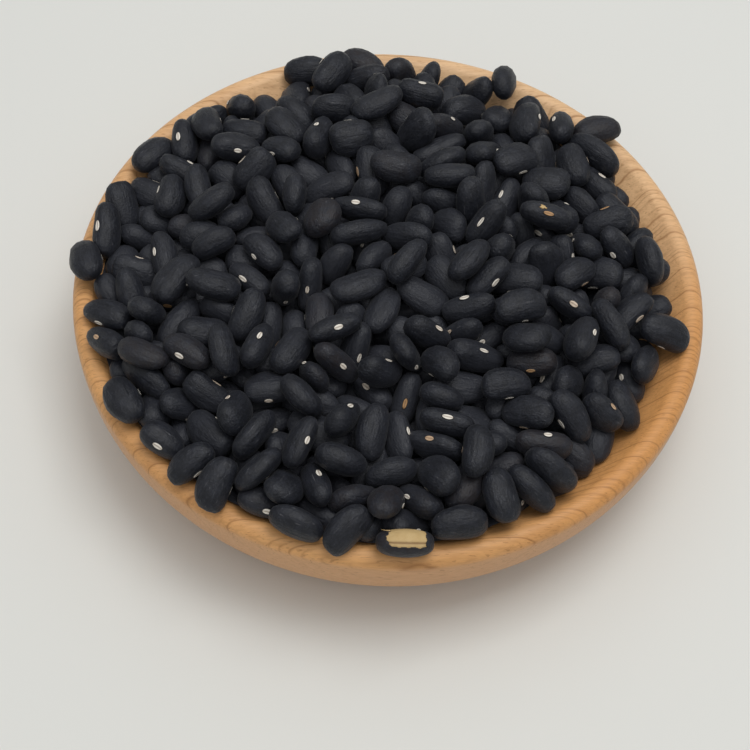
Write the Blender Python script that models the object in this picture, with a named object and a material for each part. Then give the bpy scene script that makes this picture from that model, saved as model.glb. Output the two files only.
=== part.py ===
"""A shallow turned beech bowl, heaped to over its rim with dried black beans.

The bowl stands on the plane z = 0 with its turning axis on Z. The heap is one solid: a core that
fills the bowl and rises to a mound, with the beans that stand highest fused to it. All the beans are
strewn through the heap at first, and then settle until they hardly overlap.
"""

import math

import bmesh
import bpy
import numpy as np

# Bowl, in metres
BOWL_RADIUS = 0.075
BOWL_HEIGHT = 0.030
FOOT_RADIUS = 0.053
FLOOR_HEIGHT = 0.0065
LIP_RADIUS = 0.0030
INNER_SLOPE = math.radians(41)
BOWL_SIDES = 56
OUTER_STEPS = 7
LIP_STEPS = 6
INNER_STEPS = 10
SHARP_ANGLE = math.radians(40)

# Mound of beans, in metres. OUTLINE_WAVES lists where its edge comes in or goes out: angle in
# degrees, distance in millimetres, half width in degrees.
MOUND_HEIGHT = 0.048
EDGE_HEIGHT = 0.0350
MOUND_ROUNDNESS = 0.80
OUTLINE_RADIUS = 0.0710
OUTLINE_LEAN = 0.0038
OUTLINE_LEAN_TOWARDS = math.radians(229)
OUTLINE_WAVES = ((327, -5.2, 24), (22, -2.4, 20), (145, -2.4, 22), (100, -1.0, 30), (280, 1.5, 20))
SLOPE_REACH = 0.004

# Bean: half its length, its width and its thickness, and its bend
BEAN_HALVES = np.array([0.00625, 0.0041, 0.0031])
BEAN_BEND = 0.0005

# Beans before they settle, and how much their sizes and turns vary
SEED = 53
STREWN_BEANS = 960
TRIES_PER_BEAN = 6
BEAN_SPREAD = np.array([0.09, 0.09, 0.08])
SPREAD_LIMIT = 2
PITCH_SPREAD = math.radians(34)
STREW_ABOVE = 0.010
STREW_OFF = 0.003
EDGE_INSET = 0.0045

# Settling: each bean is eight balls, given as shares of its half sizes: along, across, ball radius.
# SETTLING lists numbers of rounds and the drop in each round, in metres; the last rounds of each
# only push beans apart.
BALLS = np.array([
    (0, 0.25, 1.0), (0, -0.25, 1.0),
    (0.42, 0.16, 0.93), (0.42, -0.16, 0.93), (-0.42, 0.16, 0.93), (-0.42, -0.16, 0.93),
    (0.62, 0, 0.78), (-0.62, 0, 0.78),
])
SETTLING = ((130, 0.00012), (30, 0.00008), (30, 0.00004))
SINKING_SHARE = 0.8
PAIR_REACH = 0.0140
PAIR_ROUNDS = 6
SLOPE_STEP = 0.0004
SHIFT_GAIN = 1.3
SPIN_GAIN = 1.2
MOST_PROUD = 0.0030

# Beans that lie on the rim or stand against the wall: angle of the place in degrees, distance out
# and height in millimetres, then yaw, pitch and roll in degrees. The first is the split bean and
# the second the chipped one.
RIM_BEANS = (
    (276, 71.8, 34.1, 5, 0, 106),
    (21, 37.7, 42.6, -4, 3, -55),
    (183, 71.5, 33.9, 112, 8, 18),
    (45, 69.0, 33.7, 20, -4, 10),
    (153, 68.0, 32.5, 58, 6, 24),
    (350, 65.5, 33.7, -4, 5, 14),
    (331, 62.8, 30.9, 118, 6, 30),
    (112, 67.5, 32.1, 3, 0, 70),
    (100, 67.2, 32.3, -24, 10, 30),
    (68, 67.0, 32.8, 80, 10, 60),
    (286, 68.6, 34.2, 15, 2, 40),
    (266, 69.8, 34.1, 50, -4, 35),
    (257, 70.9, 34.0, -22, 12, 60),
    (295, 65.2, 36.0, 112, 6, 12),
    (241, 69.8, 34.3, 66, -6, 20),
    (216, 70.4, 33.9, 124, 4, 16),
    (7, 61.3, 36.2, 108, -6, 62),
)

# Solid of the heap: the core lies CORE_DEPTH under the mound and GAP off the wood
CORE_DEPTH = 0.0042
CORE_EDGE_INSET = 0.0052
GAP = 0.0005
CORE_SIDES = 40
CORE_RINGS = 6
FUSED_BEANS = 312
BEAN_SIDES = 6
BEAN_SHOULDER = 0.58
BEAN_SHOULDER_WIDTH = 0.92
EDGE_STEPS = 6

# Colours and roughness
WOOD_COLOUR = (0.58, 0.33, 0.14, 1)
WOOD_ROUGHNESS = 0.5
BEAN_COLOUR = (0.016, 0.016, 0.019, 1)
BEAN_ROUGHNESS = 0.45


def lip_start():
    """Radius and height where the lip's round meets the inner slope."""
    turn = math.pi / 2 + INNER_SLOPE
    return (
        BOWL_RADIUS - LIP_RADIUS + LIP_RADIUS * math.cos(turn),
        BOWL_HEIGHT - LIP_RADIUS + LIP_RADIUS * math.sin(turn),
    )


def bowl_top(radius):
    """Height of the wood seen from above: a power curve inside, the lip's round, then nothing."""
    lip_r, lip_z = lip_start()
    power = math.tan(INNER_SLOPE) * lip_r / (lip_z - FLOOR_HEIGHT)
    inside = FLOOR_HEIGHT + (lip_z - FLOOR_HEIGHT) * (np.minimum(radius, lip_r) / lip_r) ** power
    across = np.clip(radius - (BOWL_RADIUS - LIP_RADIUS), -LIP_RADIUS, LIP_RADIUS)
    lip = BOWL_HEIGHT - LIP_RADIUS + np.sqrt(LIP_RADIUS**2 - across**2)
    return np.where(radius < lip_r, inside, np.where(radius < BOWL_RADIUS, lip, 0.0))


def bowl_profile():
    """The bowl's outline from the middle of the foot, round the lip, to the middle of the floor."""
    widest = BOWL_HEIGHT - LIP_RADIUS
    points = [(0, 0)]
    for t in np.linspace(math.pi / 2, 0, OUTER_STEPS, endpoint=False):
        across = FOOT_RADIUS + (BOWL_RADIUS - FOOT_RADIUS) * math.cos(t)
        points.append((across, widest * (1 - math.sin(t))))
    for t in np.linspace(0, math.pi / 2 + INNER_SLOPE, LIP_STEPS, endpoint=False):
        across = BOWL_RADIUS - LIP_RADIUS + LIP_RADIUS * math.cos(t)
        points.append((across, widest + LIP_RADIUS * math.sin(t)))
    lip_r, _ = lip_start()
    for share in np.linspace(1, 0, INNER_STEPS):
        radius = lip_r * math.sqrt(share)
        points.append((radius, float(bowl_top(radius))))
    return points


def outline(angle):
    """Radius of the heap's edge: a circle that leans to one side, with a few broad waves."""
    radius = OUTLINE_RADIUS + OUTLINE_LEAN * np.cos(angle - OUTLINE_LEAN_TOWARDS)
    for place, distance, width in OUTLINE_WAVES:
        away = (angle - math.radians(place) + math.pi) % (2 * math.pi) - math.pi
        radius = radius + distance / 1000 * np.exp(-((away / math.radians(width)) ** 2))
    return radius


def mound(x, y):
    """Height of the heap's surface: a dome over the outline."""
    share = np.clip(np.hypot(x, y) / outline(np.arctan2(y, x)), 0, 1)
    return EDGE_HEIGHT + (MOUND_HEIGHT - EDGE_HEIGHT) * (1 - share**2) ** MOUND_ROUNDNESS


def turns_about(axis, angles):
    """Rotation matrices by the given angles about axis 0, 1 or 2."""
    angles = np.asarray(angles, float)
    turns = np.zeros((len(angles), 3, 3))
    after, last = (axis + 1) % 3, (axis + 2) % 3
    turns[:, axis, axis] = 1
    turns[:, after, after] = turns[:, last, last] = np.cos(angles)
    turns[:, after, last] = -np.sin(angles)
    turns[:, last, after] = np.sin(angles)
    return turns


def lying_turns(x, y, yaw, pitch, roll):
    """Rotations of beans that lie on the mound at x, y: the mound's slope, then yaw, pitch and roll."""
    slope_x = (mound(x + SLOPE_REACH, y) - mound(x - SLOPE_REACH, y)) / (2 * SLOPE_REACH)
    slope_y = (mound(x, y + SLOPE_REACH) - mound(x, y - SLOPE_REACH)) / (2 * SLOPE_REACH)
    lean = turns_about(1, -np.arctan(slope_x)) @ turns_about(0, np.arctan(slope_y))
    return lean @ turns_about(2, yaw) @ turns_about(1, pitch) @ turns_about(0, roll)


def strewn_beans(rng):
    """The beans before they settle: those of RIM_BEANS, then the rest at random all through the heap."""
    placed = np.array(RIM_BEANS, float)
    rim_angle, rim_yaw, rim_pitch, rim_roll = np.radians(placed[:, [0, 3, 4, 5]]).T
    tries = TRIES_PER_BEAN * STREWN_BEANS
    angle = rng.uniform(0, 2 * math.pi, tries)
    radius = np.sqrt(rng.random(tries)) * (outline(angle) - EDGE_INSET)
    x, y = radius * np.cos(angle), radius * np.sin(angle)
    z = rng.random(tries) * (MOUND_HEIGHT + STREW_ABOVE)
    inside = (z > bowl_top(radius) + STREW_OFF) & (z < mound(x, y) + STREW_ABOVE)
    keep = np.nonzero(inside)[0][:STREWN_BEANS]
    centres = np.concatenate([
        np.stack([placed[:, 1] * np.cos(rim_angle), placed[:, 1] * np.sin(rim_angle), placed[:, 2]], 1) / 1000,
        np.stack([x, y, z], 1)[keep],
    ])
    yaw = np.concatenate([rim_yaw, rng.uniform(-math.pi, math.pi, len(keep))])
    pitch = np.concatenate([rim_pitch, rng.normal(0, PITCH_SPREAD, len(keep))])
    roll = np.concatenate([rim_roll, rng.uniform(-math.pi, math.pi, len(keep))])
    spread = np.clip(rng.normal(0, 1, (len(yaw), 3)), -SPREAD_LIMIT, SPREAD_LIMIT)
    sizes = BEAN_HALVES * (1 + BEAN_SPREAD * spread)
    sizes[:len(placed)] = BEAN_HALVES
    return centres, lying_turns(centres[:, 0], centres[:, 1], yaw, pitch, roll), sizes


def push_inwards(points, radii):
    """Moves that lift balls off the wood along its slope, and that bring them back inside the outline."""
    x, y, z = np.moveaxis(points, -1, 0)
    radius = np.hypot(x, y) + 1e-9
    crest = BOWL_RADIUS - LIP_RADIUS
    height = bowl_top(np.minimum(radius, crest))
    outer = bowl_top(np.minimum(radius + SLOPE_STEP, crest))
    slope = (outer - bowl_top(np.clip(radius - SLOPE_STEP, 0, crest))) / (2 * SLOPE_STEP)
    normal = np.stack([-slope * x / radius, -slope * y / radius, np.ones_like(x)], axis=-1)
    normal /= np.linalg.norm(normal, axis=-1, keepdims=True)
    push = np.maximum(radii - (z - height) * normal[..., 2], 0)[..., None] * normal
    outside = np.maximum(radius + radii - outline(np.arctan2(y, x)), 0)
    push[..., 0] -= outside * x / radius
    push[..., 1] -= outside * y / radius
    return push


def turned_by(turns, spin):
    """Rotations turned further by small rotation vectors, by the formula of Rodrigues."""
    angle = np.linalg.norm(spin, axis=-1)[:, None, None] + 1e-12
    axis = spin / angle[:, :, 0]
    cross = np.zeros((len(spin), 3, 3))
    cross[:, 0, 1], cross[:, 0, 2], cross[:, 1, 2] = -axis[:, 2], axis[:, 1], -axis[:, 0]
    cross -= cross.transpose(0, 2, 1)
    small = np.eye(3) + np.sin(angle) * cross + (1 - np.cos(angle)) * (cross @ cross)
    return small @ turns


def settle(centres, turns, sizes, rounds, drop):
    """Lets beans sink a little each round, and pushes overlapping ones apart.

    Each bean is eight balls. Where two balls overlap, each moves half the overlap; a bean takes the
    mean of its balls' moves as a shift, and their turning moment as a spin. The rim beans are held.
    """
    local = np.stack([BALLS[:, 0], BALLS[:, 1], np.zeros(len(BALLS))], axis=1)[None] * sizes[:, None]
    radii = BALLS[None, :, 2] * sizes[:, 2:]
    free = (np.arange(len(centres)) >= len(RIM_BEANS))[:, None]
    for number in range(rounds):
        if number % PAIR_ROUNDS == 0:
            apart = np.linalg.norm(centres[:, None] - centres[None], axis=-1)
            first, second = np.nonzero(np.triu(apart < PAIR_REACH, 1))
        arms = local @ turns.transpose(0, 2, 1)
        points = centres[:, None] + arms
        between = points[first][:, :, None] - points[second][:, None]
        length = np.sqrt((between**2).sum(-1)) + 1e-9
        overlap = np.maximum(radii[first][:, :, None] + radii[second][:, None] - length, 0)
        move = (0.5 * overlap / length)[..., None] * between
        push = push_inwards(points, radii)
        contacts = (np.abs(push).sum(-1) > 0).astype(float)
        np.add.at(push, first, move.sum(2))
        np.add.at(push, second, -move.sum(1))
        np.add.at(contacts, first, (overlap > 0).sum(2))
        np.add.at(contacts, second, (overlap > 0).sum(1))
        count = np.maximum(contacts.sum(1), 1)[:, None]
        moment = np.cross(arms, push).sum(1)
        inertia = (contacts * (arms**2).sum(-1)).sum(1)[:, None] + sizes[:, 1:2] ** 2
        sinking = np.array([0, 0, drop if number < SINKING_SHARE * rounds else 0.0])
        centres = centres + free * (SHIFT_GAIN * push.sum(1) / count - sinking)
        turns = turned_by(turns, free * SPIN_GAIN * moment / inertia)
    return centres, turns


def reach_up(turns, sizes):
    """How far each bean reaches up from its centre."""
    return np.sqrt((turns[:, 2] ** 2 * sizes**2).sum(1))


def laid_beans():
    """The settled heap: centres, turns and half sizes. Beans that end up too proud are taken off."""
    rng = np.random.default_rng(SEED)
    centres, turns, sizes = strewn_beans(rng)
    for rounds, drop in SETTLING:
        centres, turns = settle(centres, turns, sizes, rounds, drop)
        proud = centres[:, 2] + reach_up(turns, sizes) - mound(centres[:, 0], centres[:, 1])
        keep = (proud < MOST_PROUD) | (np.arange(len(proud)) < len(RIM_BEANS))
        centres, turns, sizes = centres[keep], turns[keep], sizes[keep]
    return centres, turns, sizes


def solid_material(name, colour, roughness):
    """A plain Principled material."""
    material = bpy.data.materials.new(name)
    material.use_nodes = True
    shader = material.node_tree.nodes["Principled BSDF"]
    shader.inputs["Base Color"].default_value = colour
    shader.inputs["Roughness"].default_value = roughness
    return material


def new_object(name, mesh, collection):
    """An object with its mesh, linked to a collection."""
    part = bpy.data.objects.new(name, mesh)
    collection.objects.link(part)
    return part


def mesh_of_rings(name, rings):
    """A closed mesh through rings of points; the first and the last ring are one point each."""
    mesh = bmesh.new()
    rows = [[mesh.verts.new(point) for point in ring] for ring in rings]
    for row, following in zip(rows, rows[1:]):
        count = max(len(row), len(following))
        for k in range(count):
            here = [row[n % len(row)] for n in (k, k + 1)]
            there = [following[n % len(following)] for n in (k + 1, k)]
            mesh.faces.new(dict.fromkeys(here + there))
    bmesh.ops.recalc_face_normals(mesh, faces=mesh.faces)
    bmesh.ops.triangulate(mesh, faces=mesh.faces)
    data = bpy.data.meshes.new(name)
    mesh.to_mesh(data)
    mesh.free()
    return data


def circle(count):
    """Angles evenly round a circle."""
    return np.arange(count) * 2 * math.pi / count


def make_bowl(collection):
    """The turned bowl: its profile carried round the axis."""
    rings = []
    for radius, height in bowl_profile():
        angles = circle(BOWL_SIDES) if radius > 0 else [0]
        rings.append([(radius * math.cos(a), radius * math.sin(a), height) for a in angles])
    bowl = new_object("bowl", mesh_of_rings("bowl", rings), collection)
    bowl.data.shade_smooth()
    bowl.data.set_sharp_from_angle(angle=SHARP_ANGLE)
    bowl.data.materials.append(solid_material("beech wood", WOOD_COLOUR, WOOD_ROUGHNESS))
    return bowl


def core_ring(share, upper):
    """One ring of the core, a share of the way to its edge, on its upper or its lower side."""
    ring = []
    for angle in circle(CORE_SIDES):
        radius = share * (outline(angle) - CORE_EDGE_INSET)
        x = radius * math.cos(angle)
        y = radius * math.sin(angle)
        height = mound(x, y) - CORE_DEPTH if upper else bowl_top(radius) + GAP
        ring.append((x, y, float(height)))
    return ring


def make_core(collection):
    """The core of the heap: the bowl's inner curve below, the lowered mound above."""
    shares = np.sqrt(np.linspace(0, 1, CORE_RINGS + 1))[1:]
    lower = [core_ring(share, False) for share in shares]
    upper = [core_ring(share, True) for share in shares[::-1]]
    floor = [(0, 0, float(bowl_top(0)) + GAP)]
    top = [(0, 0, float(mound(0, 0)) - CORE_DEPTH)]
    return new_object("bean_heap", mesh_of_rings("bean_heap", [floor, *lower, *upper, top]), collection)


def bean_rings(centre, turn, halves):
    """Points of a bean with few sides: a tip, two shoulder rings and a tip along its X, slightly bent."""
    rings = []
    for along in (-1, -BEAN_SHOULDER, BEAN_SHOULDER, 1):
        tip = abs(along) == 1
        bend = BEAN_BEND * (along**2 - BEAN_SHOULDER**2)
        around = 0 if tip else BEAN_SHOULDER_WIDTH
        angles = [0] if tip else circle(BEAN_SIDES)
        local = [(along, around * math.cos(a), around * math.sin(a)) for a in angles]
        points = np.array(local) * halves + np.array([0, bend, 0])
        rings.append(points @ turn.T + centre)
    return rings


def clear_of_wood(rings):
    """The bean's rings, raised if any point along its edges lies in the wood or closer than the gap."""
    steps = np.linspace(0, 1, EDGE_STEPS)
    edges = np.concatenate([one + t * (other - one) for one, other in zip(rings, rings[1:]) for t in steps])
    short = bowl_top(np.hypot(edges[:, 0], edges[:, 1])) + GAP - edges[:, 2]
    return [ring + np.array([0, 0, max(short.max(), 0)]) for ring in rings]


def make_bean(collection, centre, turn, halves):
    """One bean, off the wood."""
    rings = clear_of_wood(bean_rings(centre, turn, halves))
    return new_object("bean", mesh_of_rings("bean", rings), collection)


def keep_outer_shell(part):
    """Deletes loose scraps and sealed hollows: all shells but the one with the most faces."""
    mesh = bmesh.new()
    mesh.from_mesh(part.data)
    shells = []
    left = set(mesh.faces)
    while left:
        shell = {left.pop()}
        newest = list(shell)
        while newest:
            face = newest.pop()
            beside = {other for edge in face.edges for other in edge.link_faces} & left
            left -= beside
            shell |= beside
            newest.extend(beside)
        shells.append(shell)
    shells.sort(key=len)
    for shell in shells[:-1]:
        bmesh.ops.delete(mesh, geom=list(shell), context="FACES")
    bmesh.ops.triangulate(mesh, faces=mesh.faces)
    mesh.to_mesh(part.data)
    mesh.free()


def make_heap(collection):
    """The heap: the beans that stand highest, joined to the core by one union."""
    loose = bpy.data.collections.new("beans to join")
    bpy.context.scene.collection.children.link(loose)
    centres, turns, sizes = laid_beans()
    proud = centres[:, 2] + reach_up(turns, sizes) - mound(centres[:, 0], centres[:, 1])
    proud[:len(RIM_BEANS)] = MOST_PROUD
    for k in np.argsort(-proud, kind="stable")[:FUSED_BEANS]:
        make_bean(loose, centres[k], turns[k], sizes[k])
    heap = make_core(collection)
    union = heap.modifiers.new("union", "BOOLEAN")
    union.operation = "UNION"
    union.operand_type = "COLLECTION"
    union.collection = loose
    union.solver = "EXACT"
    evaluated = heap.evaluated_get(bpy.context.evaluated_depsgraph_get())
    joined = bpy.data.meshes.new_from_object(evaluated)
    heap.modifiers.clear()
    heap.data = joined
    for bean in list(loose.objects):
        bpy.data.objects.remove(bean)
    bpy.data.collections.remove(loose)
    keep_outer_shell(heap)
    heap.data.materials.clear()
    heap.data.materials.append(solid_material("black bean", BEAN_COLOUR, BEAN_ROUGHNESS))
    return heap


def main():
    """Clears the scene and builds the two pieces."""
    for old in list(bpy.data.objects):
        bpy.data.objects.remove(old)
    collection = bpy.context.scene.collection
    make_bowl(collection)
    make_heap(collection)


main()
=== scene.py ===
"""A turned beech dish heaped with dried black beans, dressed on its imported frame.

The beans settle by the same rule as in the solid model.
"""

import functools
import math

import bpy
import numpy as np
from bpy.props import FloatProperty, FloatVectorProperty, IntProperty, PointerProperty
from mathutils import Matrix, Vector


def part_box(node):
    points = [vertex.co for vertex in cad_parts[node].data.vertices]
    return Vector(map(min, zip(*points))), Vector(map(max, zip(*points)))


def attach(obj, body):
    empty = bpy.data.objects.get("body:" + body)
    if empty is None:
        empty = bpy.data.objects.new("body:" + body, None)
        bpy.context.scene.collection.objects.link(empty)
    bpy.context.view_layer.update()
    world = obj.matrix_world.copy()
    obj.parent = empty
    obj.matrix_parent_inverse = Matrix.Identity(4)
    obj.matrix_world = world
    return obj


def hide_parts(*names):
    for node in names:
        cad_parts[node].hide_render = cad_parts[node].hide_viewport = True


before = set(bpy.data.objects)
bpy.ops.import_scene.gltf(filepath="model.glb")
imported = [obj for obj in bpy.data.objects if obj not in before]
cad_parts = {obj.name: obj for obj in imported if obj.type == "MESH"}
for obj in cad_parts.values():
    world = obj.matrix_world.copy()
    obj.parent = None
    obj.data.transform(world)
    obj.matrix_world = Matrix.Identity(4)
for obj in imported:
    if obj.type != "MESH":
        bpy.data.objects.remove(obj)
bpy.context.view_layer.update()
BOWL_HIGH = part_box("bowl")[1]

bl_info = {
    "name": "Bowl of dried beans",
    "version": (1, 0, 0),
    "blender": (4, 5, 0),
    "location": "View3D > Sidebar > Beans",
    "description": "Turns a beech dish, heaps it with dried black beans and lights it",
    "category": "Object",
}

# Bowl: what its own settings don't hold. OUTER_FADE is the rings over which the painted shade and floor
# reflection of its outer side give way to the lip's colour.
INNER_SLOPE = math.radians(41)
BOWL_SIDES = 240
FOOT_STEPS = 12
OUTER_FADE = 5
OUTER_STEPS = 34
LIP_STEPS = 26
INNER_STEPS = 40

# Mound of beans. OUTLINE_WAVES lists where its edge comes in or goes out: angle in degrees,
# distance in millimetres, half width in degrees.
MOUND_HEIGHT = 0.048
EDGE_HEIGHT = 0.0350
MOUND_ROUNDNESS = 0.80
OUTLINE_RADIUS = 0.0710
OUTLINE_LEAN = 0.0038
OUTLINE_LEAN_TOWARDS = math.radians(229)
OUTLINE_WAVES = ((327, -5.2, 24), (22, -2.4, 20), (145, -2.4, 22), (100, -1.0, 30), (280, 1.5, 20))
SLOPE_REACH = 0.004

# Core under the visible beans: how far it lies below the mound and inside the outline
CORE_DEPTH = 0.0165
CORE_EDGE_INSET = 0.0052
CORE_SIDES = 96
CORE_STEPS = 14
GAP = 0.0005

# Beans before they settle, and how much their sizes and turns vary
BEAN_SPREAD = np.array([0.09, 0.09, 0.08])
SPREAD_LIMIT = 2
PITCH_SPREAD = math.radians(34)
TRIES_PER_BEAN = 6
STREW_ABOVE = 0.010
STREW_OFF = 0.003
EDGE_INSET = 0.0045

# Settling: each bean is eight balls, given as shares of its half sizes: along, across, ball radius.
# SETTLING lists numbers of rounds and the drop in each round, in metres.
BALLS = np.array([
    (0, 0.25, 1.0), (0, -0.25, 1.0),
    (0.42, 0.16, 0.93), (0.42, -0.16, 0.93), (-0.42, 0.16, 0.93), (-0.42, -0.16, 0.93),
    (0.62, 0, 0.78), (-0.62, 0, 0.78),
])
SETTLING = ((130, 0.00012), (30, 0.00008), (30, 0.00004))
SINKING_SHARE = 0.8
PAIR_REACH = 0.0140
PAIR_ROUNDS = 6
SLOPE_STEP = 0.0004
SHIFT_GAIN = 1.3
SPIN_GAIN = 1.2
MOST_PROUD = 0.0030
WOOD_TEST_GRID = (9, 12)

# Beans that lie on the rim or stand against the wall: angle of the place in degrees, distance out
# and height in millimetres, then yaw, pitch and roll in degrees. The first is the split bean and
# the second the chipped one.
RIM_BEANS = (
    (276, 71.8, 34.1, 5, 0, 106),
    (21, 37.7, 42.6, -4, 3, -55),
    (183, 71.5, 33.9, 112, 8, 18),
    (45, 69.0, 33.7, 20, -4, 10),
    (153, 68.0, 32.5, 58, 6, 24),
    (350, 65.5, 33.7, -4, 5, 14),
    (331, 62.8, 30.9, 118, 6, 30),
    (112, 67.5, 32.1, 3, 0, 70),
    (100, 67.2, 32.3, -24, 10, 30),
    (68, 67.0, 32.8, 80, 10, 60),
    (286, 68.6, 34.2, 15, 2, 40),
    (266, 69.8, 34.1, 50, -4, 35),
    (257, 70.9, 34.0, -22, 12, 60),
    (295, 65.2, 36.0, 112, 6, 12),
    (241, 69.8, 34.3, 66, -6, 20),
    (216, 70.4, 33.9, 124, 4, 16),
    (7, 61.3, 36.2, 108, -6, 62),
)

# Depths under the mound where a painted fill light starts to lighten the beans' coat in the shade between
# them, and where it is fullest
PAINTED_FILL_FROM = 0.0030
PAINTED_FILL_FULL = 0.0110

# Break in the split bean's coat: from its top edge to its low edge round the bean, its left and right
# ends as shares of the half length, and the seam between the two halves of its flesh. The flesh is a
# little shorter and thinner than the coat, and thinner again at the seam.
BREAK_TOP = math.radians(-125)
BREAK_LOW = math.radians(6)
BREAK_LEFT = -0.62
BREAK_RIGHT = 0.72
SEAM_AT = math.radians(-13)
SEAM_WIDTH = 0.09
SEAM_DEPTH = 0.04
FLESH_LENGTH = 0.96
FLESH_GIRTH = 0.955
COAT_THICKNESS = 0.00022
SPLIT_TONE = 0.96
CURL_SEAM = 0.2

# Sliver of coat that curls off the break's left end: where it starts along the bean, its place round
# the bean, its length as a share of the bean's half length, how far it lifts, and its half width
CURL_START = -0.50
CURL_AT = math.radians(-78)
CURL_LENGTH = 0.36
CURL_LIFT = 0.0010
CURL_WIDTH = 0.00032
CURL_GRID = (8, 8)

# Grids of one bean: rings along it, sides round it
PLAIN_GRID = (9, 12)
RIDGED_GRID = (15, 26)
SPLIT_GRID = (96, 120)
EYE_GRID = (4, 14)
RIDGED_SHARE = 0.24
EYE_LENGTH = 0.00118
EYE_WIDTH = 0.00060
SPOT_RINGS = np.array([0.45, 0.80, 1.00, 1.22])
SPOT_LIFTS = np.array([0.00010, 0.00013, 0.00006, -0.00020])
SPOT_DEPTH = 0.0005
SPOT_CROWN = 0.00002
RIDGE_HEIGHT = 0.035

# Chip in a coat: how far from the eye along the bean and round it, its half sizes, and its waves
CHIP_SHIFT = -0.0016
CHIP_TURN = math.radians(-26)
CHIP_LENGTH = 0.00078
CHIP_WIDTH = 0.00055
CHIP_RAGGED = 0.22

# Patterns on the beans are in millimetres, and each bean takes its own from this much further on
MILLIMETRES = 1000
PATTERN_STEP = 40

# Beech: where its pith lies, rings to a metre, and how far three noises push the rings, in metres
PITH_BEHIND = 0.16
PITH_BELOW = 0.06
STRONG_RINGS = 190.0
FAINT_RINGS = 760.0
SLOW_WANDER = 0.010
UNEVEN_YEARS = 0.0036
QUICK_WANDER = 0.00045
TONES_TO_A_METRE = 8.0

# Colours that the settings don't hold
# Painted shade and a painted reflection of the pale floor on the dish's outer side
OUTER_SHADE_AND_REFLECTION = (0.67, 0.385, 0.204)
COAT_SPECKS = (0.085, 0.083, 0.085)
# Painted fill light: a paler grey for the coat in the shade deep between the beans
PAINTED_FILL_COAT = (0.034, 0.036, 0.045)
# Painted highlight: a paler grey for thin streaks on the coat
PAINTED_GLINT_COAT = (0.085, 0.085, 0.092)
BROWN_EYE = (0.50, 0.27, 0.11)
EYE_SHADE = (0.42, 0.33, 0.22)
EYE_SLIT = (0.16, 0.085, 0.04)
FLESH_SPECKS = (0.20, 0.13, 0.07)
FLESH_SEAM = (0.20, 0.105, 0.04)
SKY_COLOUR = (0.98, 0.99, 1.0)
LAMP_COLOUR = (1.0, 1.0, 1.0)

# Stage: the table, the two lamps, what the lamps and the camera look at, and how far off the middle
# of the frame the dish lies, in pixels, with the focal length in pixels too
TABLE_REACH = 2.5
LARGE_LAMP_AT = (0.17, 0.08, 0.98)
LARGE_LAMP_SIZE = 0.50
FILL_LAMP_AT = (-0.15, -0.82, 0.6)
FILL_LAMP_SIZE = 0.6
FILL_SHARE = 0.15
LAMPS_AIM = 0.02
CAMERA_AIM = 0.015
FRAME_DOWN = 57.7
FRAME_LEFT = 12.3
FRAME_LENS = 1700


class BowlSettings(bpy.types.PropertyGroup):
    """Sizes and colours of the dish."""

    radius: FloatProperty(
        name="Radius", description="Half the dish's width", default=BOWL_HIGH.x, unit="LENGTH"
    )
    height: FloatProperty(
        name="Height", description="From the foot to the rim", default=BOWL_HIGH.z, unit="LENGTH"
    )
    foot_radius: FloatProperty(
        name="Foot radius", description="Half the flat foot's width", default=0.053, unit="LENGTH"
    )
    floor_height: FloatProperty(
        name="Floor height", description="Thickness of the wood under the beans", default=0.0065,
        unit="LENGTH",
    )
    lip_radius: FloatProperty(
        name="Lip radius", description="Radius of the round on the rim", default=0.0030, unit="LENGTH"
    )
    early_wood: FloatVectorProperty(
        name="Early wood", description="Pale wood between the ring lines", subtype="COLOR",
        default=(0.80, 0.425, 0.165),
    )
    # Pale wood: a paler tone towards the back right of the dish, partly painted light
    pale_wood_and_light: FloatVectorProperty(
        name="Pale wood", description="Sapwood at the back of the dish", subtype="COLOR",
        default=(0.86, 0.565, 0.315),
    )
    # Heart wood: a deeper tone towards the front right of the dish, partly painted shade
    deep_wood_and_shade: FloatVectorProperty(
        name="Heart wood", description="Deeper wood at the front right of the dish", subtype="COLOR",
        default=(0.69, 0.325, 0.105),
    )
    late_wood: FloatVectorProperty(
        name="Late wood", description="Darker wood of the ring lines", subtype="COLOR",
        default=(0.34, 0.145, 0.045),
    )


class BeanSettings(bpy.types.PropertyGroup):
    """Sizes, number and colours of the beans."""

    half_length: FloatProperty(
        name="Half length", description="Half a middling bean's length", default=0.00625, unit="LENGTH"
    )
    half_width: FloatProperty(
        name="Half width", description="Half a middling bean's width", default=0.0041, unit="LENGTH"
    )
    half_thickness: FloatProperty(
        name="Half thickness", description="Half a middling bean's thickness", default=0.0031,
        unit="LENGTH",
    )
    count: IntProperty(name="Count", description="Beans strewn before they settle", default=960)
    seed: IntProperty(name="Seed", description="Changes how the beans fall", default=53)
    coat: FloatVectorProperty(
        name="Coat", description="Black seed coat", subtype="COLOR", default=(0.0076, 0.0085, 0.0124)
    )
    brown_coat: FloatVectorProperty(
        name="Brown coat", description="Coat of the browner beans", subtype="COLOR",
        default=(0.0215, 0.0170, 0.0180),
    )
    eye: FloatVectorProperty(
        name="Eye", description="Cream scar where the bean hung", subtype="COLOR",
        default=(0.93, 0.88, 0.79),
    )
    flesh: FloatVectorProperty(
        name="Flesh", description="Inside of the split bean", subtype="COLOR", default=(0.58, 0.41, 0.19)
    )


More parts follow.
